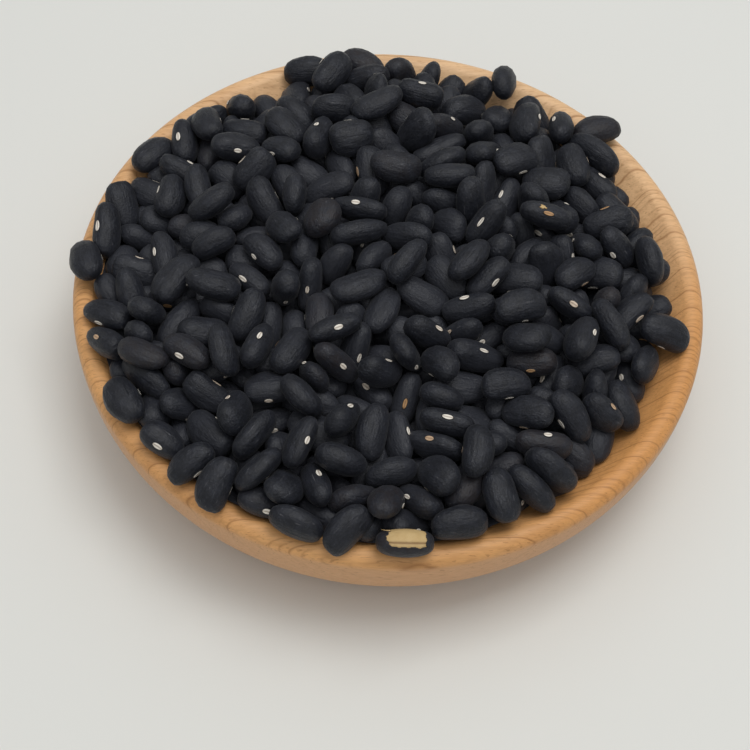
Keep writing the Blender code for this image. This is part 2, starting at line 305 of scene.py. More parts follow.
class StageSettings(bpy.types.PropertyGroup):
    """Floor, light and camera."""

    floor_colour: FloatVectorProperty(
        name="Floor colour", description="Pale table top", subtype="COLOR", default=(0.765, 0.765, 0.725)
    )
    sky: FloatProperty(name="Sky", description="Strength of the light from all round", default=0.17)
    zenith: FloatProperty(name="Zenith", description="How much stronger it is overhead", default=0.90)
    window: FloatProperty(
        name="Window", description="How much brighter the light is from behind the dish", default=0.20
    )
    backdrop: FloatProperty(
        name="Backdrop", description="How bright the far background looks", default=0.62
    )
    lamp_power: FloatProperty(
        name="Lamp power", description="Power of the large lamp", default=3.3, unit="POWER"
    )
    lens: FloatProperty(name="Lens", description="Focal length in millimetres", default=81.6)
    elevation: FloatProperty(
        name="Elevation", description="How steeply the camera looks down",
        default=math.radians(54.93), subtype="ANGLE",
    )
    roll: FloatProperty(
        name="Roll", description="Turn of the camera about its view", default=math.radians(4.49),
        subtype="ANGLE",
    )
    distance: FloatProperty(
        name="Distance", description="From the dish's middle to the camera", default=0.4169,
        unit="LENGTH",
    )


def lip_start(bowl):
    """Radius and height where the lip's round meets the inner slope."""
    turn = math.pi / 2 + INNER_SLOPE
    return (
        bowl.radius - bowl.lip_radius + bowl.lip_radius * math.cos(turn),
        bowl.height - bowl.lip_radius + bowl.lip_radius * math.sin(turn),
    )


def bowl_top(bowl, radius):
    """Height of the wood seen from above: a power curve inside, the lip's round, then nothing."""
    lip_r, lip_z = lip_start(bowl)
    power = math.tan(INNER_SLOPE) * lip_r / (lip_z - bowl.floor_height)
    climb = (np.minimum(radius, lip_r) / lip_r) ** power
    inside = bowl.floor_height + (lip_z - bowl.floor_height) * climb
    across = np.clip(radius - (bowl.radius - bowl.lip_radius), -bowl.lip_radius, bowl.lip_radius)
    lip = bowl.height - bowl.lip_radius + np.sqrt(bowl.lip_radius**2 - across**2)
    return np.where(radius < lip_r, inside, np.where(radius < bowl.radius, lip, 0.0))


def outline(angle):
    """Radius of the heap's edge: a circle that leans to one side, with a few broad waves."""
    radius = OUTLINE_RADIUS + OUTLINE_LEAN * np.cos(angle - OUTLINE_LEAN_TOWARDS)
    for place, distance, width in OUTLINE_WAVES:
        away = (angle - math.radians(place) + math.pi) % (2 * math.pi) - math.pi
        radius = radius + distance / 1000 * np.exp(-((away / math.radians(width)) ** 2))
    return radius


def mound(x, y):
    """Height of the heap's surface: a dome over the outline."""
    share = np.clip(np.hypot(x, y) / outline(np.arctan2(y, x)), 0, 1)
    return EDGE_HEIGHT + (MOUND_HEIGHT - EDGE_HEIGHT) * (1 - share**2) ** MOUND_ROUNDNESS


def middling_halves(settings):
    """Half sizes of a middling bean."""
    return np.array([settings.half_length, settings.half_width, settings.half_thickness])


def turns_about(axis, angles):
    """Rotation matrices by the given angles about axis 0, 1 or 2."""
    angles = np.asarray(angles, float)
    turns = np.zeros((len(angles), 3, 3))
    after, last = (axis + 1) % 3, (axis + 2) % 3
    turns[:, axis, axis] = 1
    turns[:, after, after] = turns[:, last, last] = np.cos(angles)
    turns[:, after, last] = -np.sin(angles)
    turns[:, last, after] = np.sin(angles)
    return turns


def lying_turns(x, y, yaw, pitch, roll):
    """Rotations of beans that lie on the mound at x, y: the mound's slope, then yaw, pitch and roll."""
    slope_x = (mound(x + SLOPE_REACH, y) - mound(x - SLOPE_REACH, y)) / (2 * SLOPE_REACH)
    slope_y = (mound(x, y + SLOPE_REACH) - mound(x, y - SLOPE_REACH)) / (2 * SLOPE_REACH)
    lean = turns_about(1, -np.arctan(slope_x)) @ turns_about(0, np.arctan(slope_y))
    return lean @ turns_about(2, yaw) @ turns_about(1, pitch) @ turns_about(0, roll)


def strewn_beans(bowl, settings, rng):
    """The beans before they settle: those of RIM_BEANS, then the rest at random all through the heap."""
    by_hand = np.array(RIM_BEANS, float)
    rim_angle, rim_yaw, rim_pitch, rim_roll = np.radians(by_hand[:, [0, 3, 4, 5]]).T
    rim_out, rim_height = by_hand[:, 1], by_hand[:, 2]
    tries = TRIES_PER_BEAN * settings.count
    angle = rng.uniform(0, 2 * math.pi, tries)
    radius = np.sqrt(rng.random(tries)) * (outline(angle) - EDGE_INSET)
    x, y = radius * np.cos(angle), radius * np.sin(angle)
    z = rng.random(tries) * (MOUND_HEIGHT + STREW_ABOVE)
    inside = (z > bowl_top(bowl, radius) + STREW_OFF) & (z < mound(x, y) + STREW_ABOVE)
    keep = np.nonzero(inside)[0][:settings.count]
    centres = np.concatenate([
        np.stack([rim_out * np.cos(rim_angle), rim_out * np.sin(rim_angle), rim_height], 1) / 1000,
        np.stack([x, y, z], 1)[keep],
    ])
    yaw = np.concatenate([rim_yaw, rng.uniform(-math.pi, math.pi, len(keep))])
    pitch = np.concatenate([rim_pitch, rng.normal(0, PITCH_SPREAD, len(keep))])
    roll = np.concatenate([rim_roll, rng.uniform(-math.pi, math.pi, len(keep))])
    spread = np.clip(rng.normal(0, 1, (len(yaw), 3)), -SPREAD_LIMIT, SPREAD_LIMIT)
    sizes = middling_halves(settings) * (1 + BEAN_SPREAD * spread)
    sizes[:len(by_hand)] = middling_halves(settings)
    return centres, lying_turns(centres[:, 0], centres[:, 1], yaw, pitch, roll), sizes


def push_inwards(bowl, points, radii):
    """Moves that lift balls off the wood along its slope, and that bring them back inside the outline."""
    x, y, z = np.moveaxis(points, -1, 0)
    radius = np.hypot(x, y) + 1e-9
    crest = bowl.radius - bowl.lip_radius
    height = bowl_top(bowl, np.minimum(radius, crest))
    outer = bowl_top(bowl, np.minimum(radius + SLOPE_STEP, crest))
    slope = (outer - bowl_top(bowl, np.clip(radius - SLOPE_STEP, 0, crest))) / (2 * SLOPE_STEP)
    normal = np.stack([-slope * x / radius, -slope * y / radius, np.ones_like(x)], axis=-1)
    normal /= np.linalg.norm(normal, axis=-1, keepdims=True)
    push = np.maximum(radii - (z - height) * normal[..., 2], 0)[..., None] * normal
    outside = np.maximum(radius + radii - outline(np.arctan2(y, x)), 0)
    push[..., 0] -= outside * x / radius
    push[..., 1] -= outside * y / radius
    return push


def turned_by(turns, spin):
    """Rotations turned further by small rotation vectors, by the formula of Rodrigues."""
    angle = np.linalg.norm(spin, axis=-1)[:, None, None] + 1e-12
    axis = spin / angle[:, :, 0]
    cross = np.zeros((len(spin), 3, 3))
    cross[:, 0, 1], cross[:, 0, 2], cross[:, 1, 2] = -axis[:, 2], axis[:, 1], -axis[:, 0]
    cross -= cross.transpose(0, 2, 1)
    small = np.eye(3) + np.sin(angle) * cross + (1 - np.cos(angle)) * (cross @ cross)
    return small @ turns


def settle(bowl, centres, turns, sizes, rounds, drop):
    """Lets beans sink a little each round, and pushes overlapping ones apart.

    Each bean is eight balls. Where two balls overlap, each moves half the overlap; a bean takes the
    mean of its balls' moves as a shift, and their turning moment as a spin. The rim beans are held.
    """
    local = np.stack([BALLS[:, 0], BALLS[:, 1], np.zeros(len(BALLS))], axis=1)[None] * sizes[:, None]
    radii = BALLS[None, :, 2] * sizes[:, 2:]
    free = (np.arange(len(centres)) >= len(RIM_BEANS))[:, None]
    for number in range(rounds):
        if number % PAIR_ROUNDS == 0:
            apart = np.linalg.norm(centres[:, None] - centres[None], axis=-1)
            first, second = np.nonzero(np.triu(apart < PAIR_REACH, 1))
        arms = local @ turns.transpose(0, 2, 1)
        points = centres[:, None] + arms
        between = points[first][:, :, None] - points[second][:, None]
        length = np.sqrt((between**2).sum(-1)) + 1e-9
        overlap = np.maximum(radii[first][:, :, None] + radii[second][:, None] - length, 0)
        move = (0.5 * overlap / length)[..., None] * between
        push = push_inwards(bowl, points, radii)
        contacts = (np.abs(push).sum(-1) > 0).astype(float)
        np.add.at(push, first, move.sum(2))
        np.add.at(push, second, -move.sum(1))
        np.add.at(contacts, first, (overlap > 0).sum(2))
        np.add.at(contacts, second, (overlap > 0).sum(1))
        count = np.maximum(contacts.sum(1), 1)[:, None]
        moment = np.cross(arms, push).sum(1)
        inertia = (contacts * (arms**2).sum(-1)).sum(1)[:, None] + sizes[:, 1:2] ** 2
        sinking = np.array([0, 0, drop if number < SINKING_SHARE * rounds else 0.0])
        centres = centres + free * (SHIFT_GAIN * push.sum(1) / count - sinking)
        turns = turned_by(turns, free * SPIN_GAIN * moment / inertia)
    return centres, turns


def reach_up(turns, sizes):
    """How far each bean reaches up from its centre."""
    return np.sqrt((turns[:, 2] ** 2 * sizes**2).sum(1))


def clear_of_wood(bowl, centres, turns, sizes):
    """Centres raised where any point of a bean's ellipsoid lies in the wood or closer than the gap."""
    rings, sides = WOOD_TEST_GRID
    t = np.linspace(0, math.pi, rings)
    along, around = np.meshgrid(t, np.linspace(0, 2 * math.pi, sides), indexing="ij")
    sphere = np.stack([np.cos(along), np.sin(along) * np.cos(around), np.sin(along) * np.sin(around)], -1)
    points = (sphere.reshape(1, -1, 3) * sizes[:, None]) @ turns.transpose(0, 2, 1) + centres[:, None]
    wood = bowl_top(bowl, np.hypot(points[..., 0], points[..., 1]))
    raised = centres.copy()
    raised[:, 2] += np.maximum(np.max(wood + GAP - points[..., 2], axis=1), 0)
    return raised


def laid_beans(bowl, settings):
    """The settled heap: centres, turns and half sizes. Beans that end up too proud are taken off."""
    rng = np.random.default_rng(settings.seed)
    centres, turns, sizes = strewn_beans(bowl, settings, rng)
    for rounds, drop in SETTLING:
        centres, turns = settle(bowl, centres, turns, sizes, rounds, drop)
        proud = centres[:, 2] + reach_up(turns, sizes) - mound(centres[:, 0], centres[:, 1])
        keep = (proud < MOST_PROUD) | (np.arange(len(proud)) < len(RIM_BEANS))
        centres, turns, sizes = centres[keep], turns[keep], sizes[keep]
    return clear_of_wood(bowl, centres, turns, sizes), turns, sizes


@functools.lru_cache(maxsize=1)
def heap():
    """The settled beans that lie above the core, worked out once: centres, turns and half sizes."""
    centres, turns, sizes = laid_beans(bpy.context.scene.dish_bowl, bpy.context.scene.dish_beans)
    buried = mound(centres[:, 0], centres[:, 1]) - centres[:, 2] - reach_up(turns, sizes) > CORE_DEPTH
    return centres[~buried], turns[~buried], sizes[~buried]


def bean_traits(count, seed):
    """Numbers that make each bean its own: bend, taper, bluntness, hollow, dents, tone."""
    rng = np.random.default_rng(seed + 1)
    return {
        "bend": rng.uniform(0.06, 0.17, count),
        "taper": rng.uniform(-0.09, 0.09, count),
        "blunt": rng.uniform(0.62, 0.80, count),
        "hollow": rng.uniform(0.04, 0.15, count),
        "dent": rng.uniform(0.01, 0.060, count),
        "phase": rng.uniform(0, 2 * math.pi, (count, 3)),
        "ridges": np.zeros(count),
        "tone": rng.random(count),
        "ridged": rng.random(count) < RIDGED_SHARE,
    }


def ridge_heights(traits):
    """Height of each bean's ridges, as a share of its girth: none on the smooth ones."""
    return np.where(traits["ridged"], RIDGE_HEIGHT * (0.4 + 0.6 * traits["tone"]), 0.0)


def bean_surface(traits, sizes, along, around):
    """Points of beans in their own frames, for parameters along (0 to pi) and around (0 to 2 pi).

    The length is a cosine of the first, the girth a power of its sine, wider at one end by the taper.
    The middle bows to one side, and that hollow side is pressed in. Slow waves make shallow dents,
    and a ridged bean has fine waves round it that run out at its tips.
    """
    def own(values):
        return values.reshape((-1,) + (1,) * (along.ndim - 1))

    cos_t = np.cos(along)
    sin_t = np.maximum(np.sin(along), 0)
    girth = sin_t ** own(traits["blunt"]) * (1 + own(traits["taper"]) * cos_t)
    side = np.maximum(-np.cos(around), 0) ** 2 * np.exp(-((cos_t / 0.5) ** 2))
    girth = girth * (1 - own(traits["hollow"]) * side)
    phase = traits["phase"]
    waves = np.sin(2 * around + 3 * cos_t + own(phase[:, 0])) * np.sin(2.3 * cos_t + own(phase[:, 1]))
    girth = girth * (1 + own(traits["dent"]) * waves)
    ridges = np.cos(7 * around + 1.5 * cos_t + own(phase[:, 2])) * np.sin(around + own(phase[:, 0])) * sin_t
    girth = girth * (1 + own(traits["ridges"]) * ridges)
    x = own(sizes[:, 0]) * cos_t
    y = own(sizes[:, 1]) * (girth * np.cos(around) + own(traits["bend"]) * (0.5 - cos_t**2))
    z = own(sizes[:, 2]) * girth * np.sin(around)
    return np.stack([x, y, z], axis=-1)


def painted_fill_at(points):
    """Painted fill light at points of the heap: a paler coat painted into the shade between the beans, none
    at the surface, full some way down.
    """
    flat = points.reshape(-1, 3)
    below = mound(flat[:, 0], flat[:, 1]) - flat[:, 2]
    return np.clip((below - PAINTED_FILL_FROM) / (PAINTED_FILL_FULL - PAINTED_FILL_FROM), 0, 1)


def placed(points, centres, turns):
    """Points of each bean moved from its own frame into the heap."""
    flat = points.reshape(len(points), -1, 3)
    moved = flat @ turns.transpose(0, 2, 1) + centres[:, None]
    return moved.reshape(points.shape)


def own_places(local):
    """Where each bean's patterns are read: its own points in millimetres, further on from bean to bean."""
    steps = PATTERN_STEP * np.arange(len(local))[:, None, None]
    return (local * MILLIMETRES + steps).reshape(-1, 3)


def chosen(traits, mask):
    """The traits of some of the beans."""
    return {name: values[mask] for name, values in traits.items()}


def capsule_faces(count, rings, sides):
    """Faces of many closed shapes, each with a tip, rings of points, and a tip: quads and triangles."""
    each = 2 + rings * sides
    k = np.arange(sides)
    following = (k + 1) % sides
    first = 1 + k
    ring_starts = 1 + sides * np.arange(rings - 1)[:, None]
    quads = np.stack([
        ring_starts + k, ring_starts + sides + k, ring_starts + sides + following, ring_starts + following,
    ], axis=-1).reshape(-1, 4)
    last = 1 + (rings - 1) * sides
    caps = np.concatenate([
        np.stack([np.zeros(sides, int), first, 1 + following], axis=-1),
        np.stack([np.full(sides, each - 1), last + following, last + k], axis=-1),
    ])
    offsets = each * np.arange(count)[:, None, None]
    return (quads + offsets).reshape(-1, 4).tolist() + (caps + offsets).reshape(-1, 3).tolist()


def new_piece(name, points, faces, material, values=None):
    """A smooth mesh object at the origin that rides on the dish, with any named values on its points."""
    mesh = bpy.data.meshes.new(name)
    mesh.from_pydata(np.asarray(points, float).reshape(-1, 3).tolist(), [], faces)
    for key, column in (values or {}).items():
        kind = "FLOAT_VECTOR" if np.ndim(column) == 2 else "FLOAT"
        attribute = mesh.attributes.new(key, kind, "POINT")
        attribute.data.foreach_set("vector" if kind == "FLOAT_VECTOR" else "value",
                                   np.asarray(column, np.float32).ravel())
    mesh.shade_smooth()
    mesh.update()
    mesh.materials.append(material)
    piece = bpy.data.objects.new(name, mesh)
    bpy.context.scene.collection.objects.link(piece)
    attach(piece, "root")
    return piece


class Graph:
    """Adds nodes to a node tree and links their sockets."""

    def __init__(self, tree):
        self.tree = tree

    def node(self, kind, inputs=None, **settings):
        """A shader node with its settings, and its inputs set or linked by name or number."""
        node = self.tree.nodes.new("ShaderNode" + kind)
        for name, value in settings.items():
            setattr(node, name, value)
        for name, value in (inputs or {}).items():
            if isinstance(value, bpy.types.NodeSocket):
                self.tree.links.new(value, node.inputs[name])
            else:
                node.inputs[name].default_value = value
        return node

    def maths(self, operation, *values, clamp=False):
        """The result of a Math node."""
        node = self.node("Math", dict(enumerate(values)), operation=operation, use_clamp=clamp)
        return node.outputs[0]

    def blend(self, factor, first, second, way="MIX"):
        """Two colours mixed."""
        node = self.node("Mix", {0: factor, 6: first, 7: second}, data_type="RGBA", blend_type=way)
        return node.outputs[2]

    def noise(self, vector, scale, detail=3.0, rough=0.5, warp=0.0):
        """The value of a noise texture."""
        node = self.node("TexNoise", {
            "Vector": vector, "Scale": scale, "Detail": detail, "Roughness": rough, "Distortion": warp,
        })
        return node.outputs[0]

    def stretched(self, vector, scale, turn=(0, 0, 0)):
        """Coordinates turned and stretched by a Mapping node."""
        node = self.node("Mapping", {"Vector": vector, "Rotation": turn, "Scale": scale})
        return node.outputs[0]

    def ramp(self, value, *stops):
        """A value read off a ramp of (place, grey) stops."""
        node = self.node("ValToRGB", {0: value})
        elements = node.color_ramp.elements
        while len(elements) < len(stops):
            elements.new(0.5)
        for element, (place, grey) in zip(elements, stops):
            element.position = place
            element.color = (grey, grey, grey, 1)
        return node.outputs[0]

    def bump(self, height, distance, strength=1.0, normal=None):
        """A bumped normal; the distance is in metres."""
        inputs = {"Height": height, "Distance": distance, "Strength": strength}
        if normal is not None:
            inputs["Normal"] = normal
        return self.node("Bump", inputs).outputs[0]


def colour(values):
    """A colour with full alpha."""
    return (*values, 1.0)


def new_material(name):
    """A material with its graph and its Principled shader."""
    material = bpy.data.materials.new(name)
    material.use_nodes = True
    return material, Graph(material.node_tree), material.node_tree.nodes["Principled BSDF"]


def speckle_group():
    """Group: fine dust and tone. Clouds of tone from slow noise, and specks where fast noise peaks."""
    group = bpy.data.node_groups.new("fine speckle", "ShaderNodeTree")
    face = group.interface
    face.new_socket("Vector", in_out="INPUT", socket_type="NodeSocketVector")
    scale = face.new_socket("Scale", in_out="INPUT", socket_type="NodeSocketFloat")
    scale.default_value = 1.0
    amount = face.new_socket("Amount", in_out="INPUT", socket_type="NodeSocketFloat")
    amount.default_value = 0.5
    face.new_socket("Clouds", in_out="OUTPUT", socket_type="NodeSocketFloat")
    face.new_socket("Specks", in_out="OUTPUT", socket_type="NodeSocketFloat")
    graph = Graph(group)
    ins = group.nodes.new("NodeGroupInput").outputs
    fast = graph.maths("MULTIPLY", ins["Scale"], 9.0)
    clouds = graph.noise(ins["Vector"], ins["Scale"], detail=4.0)
    peaks = graph.noise(ins["Vector"], fast, detail=1.0)
    specks = graph.ramp(peaks, (0.66, 0.0), (0.76, 1.0))
    specks = graph.maths("MULTIPLY", specks, ins["Amount"])
    outs = group.nodes.new("NodeGroupOutput").inputs
    group.links.new(clouds, outs["Clouds"])
    group.links.new(specks, outs["Specks"])
    return group


def speckle(graph, vector, scale, amount):
    """Clouds and specks from the shared group."""
    group = bpy.data.node_groups.get("fine speckle") or speckle_group()
    node = graph.node("Group", node_tree=group)
    graph.tree.links.new(vector, node.inputs["Vector"])
    node.inputs["Scale"].default_value = scale
    node.inputs["Amount"].default_value = amount
    return node.outputs["Clouds"], node.outputs["Specks"]


def beech(bowl):
    """Beech: ring lines about a far pith, wavy and uneven, with fine fibres and short ray flecks.

    The ring lines are where the distance to the pith passes a whole number of ring widths: a strong line
    every few years and faint ones between, with soft bands along them. The wood is paler towards the back
    right, partly painted light, and deeper at the front right, partly painted shade; its outer side carries
    painted shade and a painted reflection of the pale floor, duller and pinker, with fainter ring lines.
    """
    material, graph, shader = new_material("turned beech")
    place = graph.node("TexCoord").outputs["Object"]
    turned = graph.stretched(place, (1, 1, 1), turn=(0.05, 0.0, math.radians(-6)))
    slow = graph.noise(graph.stretched(turned, (14, 26, 26)), 1.0, detail=2.0)
    quick = graph.noise(graph.stretched(turned, (160, 420, 420)), 1.0, detail=1.0)
    axes = graph.node("SeparateXYZ", {0: turned}).outputs
    across = graph.maths("SUBTRACT", axes[1], PITH_BEHIND)
    below = graph.maths("ADD", axes[2], PITH_BELOW)
    squares = graph.maths("ADD", graph.maths("MULTIPLY", across, across),
                          graph.maths("MULTIPLY", below, below))
    distance = graph.maths("SQRT", squares)
    uneven = graph.node("TexNoise", {"W": distance, "Scale": 150.0, "Detail": 1.0}, noise_dimensions="1D")
    pith = graph.maths("MULTIPLY_ADD", slow, SLOW_WANDER, distance)
    pith = graph.maths("MULTIPLY_ADD", uneven.outputs[0], UNEVEN_YEARS, pith)
    pith = graph.maths("MULTIPLY_ADD", quick, QUICK_WANDER, pith)
    strong = graph.maths("FRACT", graph.maths("MULTIPLY", pith, STRONG_RINGS))
    faint = graph.maths("FRACT", graph.maths("MULTIPLY", pith, FAINT_RINGS))
    strong = graph.ramp(strong, (0.0, 0.3), (0.02, 0.0), (0.72, 0.0), (0.93, 0.16), (0.968, 1.0), (1.0, 0.3))
    faint = graph.ramp(faint, (0.0, 0.4), (0.16, 0.0), (0.72, 0.0), (0.90, 1.0), (1.0, 0.4))
    patchy = graph.noise(graph.stretched(turned, (40, 130, 130)), 1.0, detail=2.0)
    strong = graph.maths("MULTIPLY", strong, graph.ramp(patchy, (0.32, 0.25), (0.58, 1.0)))
    faint = graph.maths("MULTIPLY", faint, graph.ramp(patchy, (0.38, 0.85), (0.54, 0.04)))
    fibre = graph.noise(graph.stretched(turned, (200, 2600, 2600)), 1.0, detail=3.0, rough=0.6)
    rays = graph.noise(graph.stretched(turned, (420, 3600, 1700)), 1.0, detail=1.0)
    flecks = graph.ramp(rays, (0.64, 0.0), (0.70, 1.0))
    clouds = speckle(graph, turned, 26.0, 0.6)[0]
    wood = graph.blend(graph.ramp(clouds, (0.35, 0.0), (0.65, 1.0)), colour(bowl.early_wood),
                       colour(np.multiply(bowl.early_wood, (0.88, 0.83, 0.78))))
    # Paler towards the back right: partly a paler wood tone, partly painted light on the back of the dish
    to_back_right = graph.maths("MULTIPLY_ADD", axes[0], 0.35, axes[1])
    pale_back_and_light = graph.maths("MULTIPLY_ADD", to_back_right, TONES_TO_A_METRE, 0.35)
    pale_back_and_light = graph.ramp(pale_back_and_light, (0.10, 0.05), (0.55, 0.50), (0.95, 1.0))
    wood = graph.blend(pale_back_and_light, wood, colour(bowl.pale_wood_and_light))
    # Deeper towards the front right: partly a deeper wood tone, partly painted shade beside the beans
    to_front_right = graph.maths("SUBTRACT", axes[0], graph.maths("MULTIPLY", axes[1], 0.6))
    deep_front_and_shade = graph.maths("MULTIPLY", to_front_right, TONES_TO_A_METRE)
    deep_front_and_shade = graph.ramp(deep_front_and_shade, (0.52, 0.0), (0.66, 0.9))
    wood = graph.blend(deep_front_and_shade, wood, colour(bowl.deep_wood_and_shade))
    bands = graph.noise(graph.stretched(turned, (45, 850, 850)), 1.0, detail=2.0)
    wood = graph.blend(graph.maths("MULTIPLY", graph.ramp(bands, (0.48, 0.0), (0.68, 1.0)), 0.22), wood,
                       colour(bowl.late_wood))
    # Painted shade and a painted reflection of the pale floor on the outer side, with fainter ring lines
    # there
    outside = graph.node("Attribute", attribute_name="outer_side").outputs["Fac"]
    wood = graph.blend(graph.maths("MULTIPLY", outside, 0.75), wood, colour(OUTER_SHADE_AND_REFLECTION))
    calm = graph.maths("MULTIPLY_ADD", outside, -0.50, 0.62)
    wood = graph.blend(graph.maths("MULTIPLY", faint, calm), wood, colour(bowl.late_wood))
    ends = graph.maths("MULTIPLY_ADD", outside, -0.66, 0.80)
    wood = graph.blend(graph.maths("MULTIPLY", strong, ends), wood, colour(bowl.late_wood))
    wood = graph.blend(graph.maths("MULTIPLY", graph.ramp(fibre, (0.40, 0.0), (0.75, 1.0)), 0.22), wood,
                       colour(np.multiply(bowl.late_wood, 0.8)))
    wood = graph.blend(graph.maths("MULTIPLY", flecks, 0.45), wood, colour(bowl.late_wood))
    tree = material.node_tree
    tree.links.new(wood, shader.inputs["Base Color"])
    tree.links.new(graph.maths("MULTIPLY_ADD", fibre, 0.18, 0.38), shader.inputs["Roughness"])
    relief = graph.maths("MULTIPLY_ADD", strong, -0.5, fibre)
    tree.links.new(graph.bump(relief, 0.00006), shader.inputs["Normal"])
    shader.inputs["Specular IOR Level"].default_value = 0.34
    return material


def seed_coat(beans):
    """Black seed coat: matt to satin, tone by bean, with soft folds along it.

    Clouds of bloom, fine pores and specks are paler, thin pale streaks are painted highlights, and a painted
    fill light greys the coat deep between the beans, lifting the shade there.
    """
    material, graph, shader = new_material("black seed coat")
    place = graph.node("Attribute", attribute_name="bean_place").outputs["Vector"]
    tone = graph.node("Attribute", attribute_name="bean_tone").outputs["Fac"]
    clouds, specks = speckle(graph, place, 0.45, 0.6)
    brown = graph.ramp(tone, (0.84, 0.0), (0.97, 0.8))
    coat = graph.blend(brown, colour(beans.coat), colour(beans.brown_coat))
    folds = graph.noise(graph.stretched(place, (0.13, 0.62, 0.62)), 1.0, detail=3.0, rough=0.6)
    streaks = graph.noise(graph.stretched(place, (0.75, 1.8, 1.8)), 1.0, detail=2.0, rough=0.6)
    # Noise for the painted highlight streaks
    glint_streaks = graph.noise(graph.stretched(place, (0.22, 2.6, 2.6)), 1.0, detail=1.0, warp=0.4)
    bloom = graph.maths("MULTIPLY", graph.ramp(clouds, (0.42, 0.0), (0.64, 1.0)), 0.75)
    coat = graph.blend(bloom, coat, colour(np.multiply(beans.coat, (2.0, 2.0, 1.95))))
    pores = graph.noise(place, 1.9, detail=3.0, rough=0.75)
    coat = graph.blend(graph.maths("MULTIPLY", graph.ramp(pores, (0.50, 0.0), (0.66, 1.0)), 0.55), coat,
                       colour(np.multiply(beans.coat, (3.6, 3.6, 3.3))))
    coat = graph.blend(graph.maths("MULTIPLY", specks, 0.30), coat, colour(COAT_SPECKS))
    # Painted fill light: a paler grey deep between the beans, where shade falls
    painted_fill = graph.node("Attribute", attribute_name="painted_fill_light").outputs["Fac"]
    coat = graph.blend(painted_fill, coat, colour(PAINTED_FILL_COAT))
    # Painted highlights: thin pale streaks on the coat
    painted_glints = graph.maths("MULTIPLY", graph.ramp(glint_streaks, (0.66, 0.0), (0.74, 1.0)),
                       graph.ramp(clouds, (0.46, 0.0), (0.60, 0.7)))
    coat = graph.blend(painted_glints, coat, colour(PAINTED_GLINT_COAT))
    tree = material.node_tree
    tree.links.new(coat, shader.inputs["Base Color"])
    uneven = graph.maths("MULTIPLY_ADD", folds, 0.20, graph.maths("MULTIPLY_ADD", streaks, 0.30, 0.22))
    tree.links.new(uneven, shader.inputs["Roughness"])
    shader.inputs["Specular IOR Level"].default_value = 0.34
    relief = graph.maths("MULTIPLY_ADD", pores, 0.42, graph.maths("MULTIPLY_ADD", streaks, 0.30, folds))
    tree.links.new(graph.bump(relief, 0.00038), shader.inputs["Normal"])
    shader.inputs["Sheen Weight"].default_value = 0.04
    shader.inputs["Sheen Roughness"].default_value = 0.4
    return material


def eye_cream(beans):
    """The eye: cream rim, a darker slit along its middle, and a black edge where it meets the coat."""
    material, graph, shader = new_material("bean eye")
    ring = graph.node("Attribute", attribute_name="eye_ring").outputs["Fac"]
    slit = graph.node("Attribute", attribute_name="eye_slit").outputs["Fac"]
    tone = graph.node("Attribute", attribute_name="bean_tone").outputs["Fac"]
    place = graph.node("Attribute", attribute_name="bean_place").outputs["Vector"]
    clouds = speckle(graph, place, 1.6, 0.5)[0]
    cream = graph.blend(graph.ramp(tone, (0.76, 0.0), (0.96, 1.0)), colour(beans.eye), colour(BROWN_EYE))
    cream = graph.blend(graph.maths("MULTIPLY", clouds, 0.3), cream, colour(EYE_SHADE))
    tan = graph.ramp(slit, (0.0, 1.0), (0.22, 0.55), (0.42, 0.0))
    body = graph.blend(graph.maths("MULTIPLY", tan, 0.6), cream, colour(EYE_SLIT))
    edge = graph.ramp(graph.maths("SUBTRACT", ring, 0.3), (0.56, 0.0), (0.66, 1.0))
    tree = material.node_tree
    body = graph.blend(edge, body, colour(np.multiply(beans.coat, 0.4)))
    tree.links.new(body, shader.inputs["Base Color"])
    shader.inputs["Roughness"].default_value = 0.62
    tree.links.new(graph.bump(clouds, 0.00008), shader.inputs["Normal"])
    return material


def bean_flesh(beans):
    """Inside of the split bean: cream-yellow and chalky, with a darker seam between its two halves."""
    material, graph, shader = new_material("bean flesh")
    place = graph.node("Attribute", attribute_name="bean_place").outputs["Vector"]
    seam = graph.node("Attribute", attribute_name="flesh_seam").outputs["Fac"]
    clouds, specks = speckle(graph, place, 0.7, 0.5)
    body = graph.blend(graph.ramp(clouds, (0.30, 0.0), (0.75, 1.0)), colour(beans.flesh),
                       colour(np.multiply(beans.flesh, (0.90, 0.86, 0.78))))
    body = graph.blend(graph.maths("MULTIPLY", specks, 0.4), body, colour(FLESH_SPECKS))
    body = graph.blend(graph.maths("MULTIPLY", seam, 0.85), body, colour(FLESH_SEAM))
    tree = material.node_tree
    tree.links.new(body, shader.inputs["Base Color"])
    shader.inputs["Roughness"].default_value = 0.7
    tree.links.new(graph.bump(clouds, 0.0003), shader.inputs["Normal"])
    return material


def shared(maker, settings):
    """A material made once and used again."""
    made = bpy.data.materials.get(maker.__name__)
    if made is None:
        made = maker(settings)
        made.name = maker.__name__
    return made


def bowl_profile(bowl):
    """The outline from the foot's middle, round the lip, to the floor's middle, as two columns."""
    widest = bowl.height - bowl.lip_radius
    foot = np.linspace(0, bowl.foot_radius, FOOT_STEPS, endpoint=False)[1:]
    t = np.linspace(math.pi / 2, 0, OUTER_STEPS, endpoint=False)
    out_r = bowl.foot_radius + (bowl.radius - bowl.foot_radius) * np.cos(t)
    out_z = widest * (1 - np.sin(t))
    t = np.linspace(0, math.pi / 2 + INNER_SLOPE, LIP_STEPS, endpoint=False)
    lip_r = bowl.radius - bowl.lip_radius + bowl.lip_radius * np.cos(t)
    lip_z = widest + bowl.lip_radius * np.sin(t)
    in_r = lip_start(bowl)[0] * np.sqrt(np.linspace(1, 0, INNER_STEPS, endpoint=False))
    radius = np.concatenate([foot, out_r, lip_r, in_r])
    height = np.concatenate([np.zeros_like(foot), out_z, lip_z, bowl_top(bowl, in_r)])
    return radius, height


def closed_rings(first, rings, last):
    """Points of one closed shape for capsule_faces: a tip, rings of points, a tip."""
    return np.concatenate([np.reshape(first, (1, 3)), rings.reshape(-1, 3), np.reshape(last, (1, 3))])


